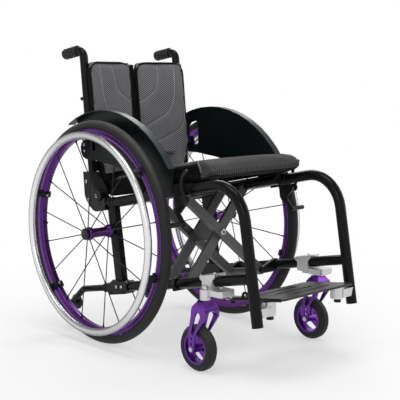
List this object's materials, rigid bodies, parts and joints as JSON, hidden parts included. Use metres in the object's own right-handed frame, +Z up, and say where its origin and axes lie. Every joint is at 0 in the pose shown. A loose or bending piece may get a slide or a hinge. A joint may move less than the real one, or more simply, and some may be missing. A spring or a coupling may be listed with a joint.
{
  "type": "folding wheelchair",
  "caption": "Folding self-propelled wheelchair with a double cross-brace, quick-release rear wheels, swivel casters, side guards, wheel locks, footplate and anti-tip wheels",
  "frame": {"origin": "on the floor, in the middle of the chair's width and length", "axes": "+Z up; the chair faces -Y; its right side is at -X and its left side at +X"},
  "size_m": [0.551, 0.8681, 0.7882],
  "materials": {
    "frame": "satin black powder coat",
    "brace": "graphite powder coat",
    "silver": "satin cast aluminium",
    "handrim": "satin anodised aluminium",
    "purple": "satin purple anodised aluminium",
    "rubber": "matte black rubber",
    "plastic": "matte black plastic",
    "guard": "satin dark plastic",
    "steel": "brushed",
    "spoke": "black",
    "mesh_fabric": "grey spacer mesh",
    "black_fabric": "black woven"
  },
  "bodies": {
    "side_right": {"front_frame_tube_right": "frame", "lower_side_tube_right": "frame", "axle_upright_right": "frame", "lower_clamp_right": "frame", "axle_pin_right": "steel", "back_cane_right": "frame", "push_grip_right": "rubber", "back_bracket_right": "frame", "side_guard_right": "guard", "brake_mount_right": "frame", "caster_clamp_right": "silver", "footplate_block_right": "silver", "pivot_block_right": "frame", "anti_tip_tube_right": "frame", "back_panel_right": "mesh_fabric", "back_spine": "black_fabric"},
    "side_left": {"front_frame_tube_left": "frame", "lower_side_tube_left": "frame", "axle_upright_left": "frame", "lower_clamp_left": "frame", "axle_pin_left": "steel", "back_cane_left": "frame", "push_grip_left": "rubber", "back_bracket_left": "frame", "side_guard_left": "guard", "brake_mount_left": "frame", "caster_clamp_left": "silver", "footplate_block_left": "silver", "pivot_block_left": "frame", "anti_tip_tube_left": "frame", "back_panel_left": "mesh_fabric"},
    "brace_a": {"brace_inner": "brace", "seat_rail_left": "frame"},
    "brace_b": {"brace_outer": "brace", "seat_rail_right": "frame"},
    "seat": {"seat_sling": "black_fabric", "seat_cushion": "mesh_fabric"},
    "footplate": {"footplate": "plastic"},
    "wheel_right": {"tyre_right": "rubber", "rim_right": "purple", "hub_spokes_right": "spoke", "handrim_right": "handrim"},
    "button_right": {"quick_release_button_right": "plastic"},
    "fork_right": {"caster_fork_right": "purple"},
    "caster_right": {"caster_rim_right": "purple", "caster_tyre_right": "rubber"},
    "brake_lever_right": {"brake_lever_right": "brace"},
    "brake_shoe_right": {"brake_shoe_arm_right": "frame"},
    "tip_wheel_right": {"anti_tip_wheel_right": "rubber"},
    "wheel_left": {"tyre_left": "rubber", "rim_left": "purple", "hub_spokes_left": "spoke", "handrim_left": "handrim"},
    "button_left": {"quick_release_button_left": "plastic"},
    "fork_left": {"caster_fork_left": "purple"},
    "caster_left": {"caster_rim_left": "purple", "caster_tyre_left": "rubber"},
    "brake_lever_left": {"brake_lever_left": "brace"},
    "brake_shoe_left": {"brake_shoe_arm_left": "frame"},
    "tip_wheel_left": {"anti_tip_wheel_left": "rubber"}
  },
  "joints": [
    {"name": "fold", "type": "hinge", "parent": "side_right", "child": "brace_a", "pos_m": [-0.1225, -0.05978, 0.17056], "axis": [0, -0.9816, 0.1908], "range_deg": [0, 36], "deforming": ["seat_sling", "seat_cushion", "back_panel_left", "back_panel_right", "back_spine"]},
    {"name": "cross", "type": "hinge", "parent": "brace_a", "child": "brace_b", "pos_m": [0, -0.0376, 0.28467], "axis": [0, -0.9816, 0.1908], "range_deg": [-72, 0]},
    {"name": "left_pivot", "type": "hinge", "parent": "brace_b", "child": "side_left", "pos_m": [0.1225, -0.05978, 0.17056], "axis": [0, -0.9816, 0.1908], "range_deg": [0, 36]},
    {"name": "seat_level", "type": "hinge", "parent": "brace_a", "child": "seat", "pos_m": [0.1225, -0.01542, 0.39878], "axis": [0, -0.9816, 0.1908], "range_deg": [-36, 0]},
    {"name": "footplate_fold", "type": "hinge", "parent": "side_right", "child": "footplate", "pos_m": [-0.13, -0.35457, 0.18161], "axis": [0, -0.9903, 0.1392], "range_deg": [0, 90]},
    {"name": "wheel_spin_right", "type": "hinge", "parent": "side_right", "child": "wheel_right", "pos_m": [-0.2267, 0.1393, 0.29485], "axis": [1, 0, 0], "continuous": true},
    {"name": "release_press_right", "type": "slide", "parent": "side_right", "child": "button_right", "axis": [1, 0, 0], "range_m": [0, 0.003], "stiffness_N_per_m": 900},
    {"name": "swivel_right", "type": "hinge", "parent": "side_right", "child": "fork_right", "pos_m": [-0.2036, -0.2517, 0.1755], "axis": [0, 0, 1], "continuous": true},
    {"name": "caster_spin_right", "type": "hinge", "parent": "fork_right", "child": "caster_right", "pos_m": [-0.2036, -0.2277, 0.05592], "axis": [1, 0, 0], "continuous": true},
    {"name": "lock_right", "type": "hinge", "parent": "side_right", "child": "brake_lever_right", "pos_m": [-0.1955, -0.1702, 0.4045], "axis": [1, 0, 0], "range_deg": [0, 54]},
    {"name": "shoe_right", "type": "hinge", "parent": "side_right", "child": "brake_shoe_right", "pos_m": [-0.191, -0.1407, 0.376], "axis": [1, 0, 0], "range_deg": [0, 9]},
    {"name": "tip_wheel_spin_right", "type": "hinge", "parent": "side_right", "child": "tip_wheel_right", "pos_m": [-0.1538, 0.3493, 0.061], "axis": [1, 0, 0], "continuous": true},
    {"name": "wheel_spin_left", "type": "hinge", "parent": "side_left", "child": "wheel_left", "pos_m": [0.2267, 0.1393, 0.29485], "axis": [1, 0, 0], "continuous": true},
    {"name": "release_press_left", "type": "slide", "parent": "side_left", "child": "button_left", "axis": [-1, 0, 0], "range_m": [0, 0.003], "stiffness_N_per_m": 900},
    {"name": "swivel_left", "type": "hinge", "parent": "side_left", "child": "fork_left", "pos_m": [0.2036, -0.2517, 0.1755], "axis": [0, 0, 1], "continuous": true},
    {"name": "caster_spin_left", "type": "hinge", "parent": "fork_left", "child": "caster_left", "pos_m": [0.2036, -0.2277, 0.05592], "axis": [1, 0, 0], "continuous": true},
    {"name": "lock_left", "type": "hinge", "parent": "side_left", "child": "brake_lever_left", "pos_m": [0.1955, -0.1702, 0.4045], "axis": [1, 0, 0], "range_deg": [0, 54]},
    {"name": "shoe_left", "type": "hinge", "parent": "side_left", "child": "brake_shoe_left", "pos_m": [0.191, -0.1407, 0.376], "axis": [1, 0, 0], "range_deg": [0, 9]},
    {"name": "tip_wheel_spin_left", "type": "hinge", "parent": "side_left", "child": "tip_wheel_left", "pos_m": [0.1538, 0.3493, 0.061], "axis": [1, 0, 0], "continuous": true}
  ],
  "couplings": [
    {"joint": "cross", "follows": "fold", "ratio": -2},
    {"joint": "left_pivot", "follows": "fold", "ratio": 1},
    {"joint": "seat_level", "follows": "fold", "ratio": -1},
    {"joint": "footplate_fold", "follows": "fold", "ratio": 2.5},
    {"joint": "shoe_right", "follows": "lock_right", "ratio": 0.16667},
    {"joint": "shoe_left", "follows": "lock_left", "ratio": 0.16667}
  ]
}
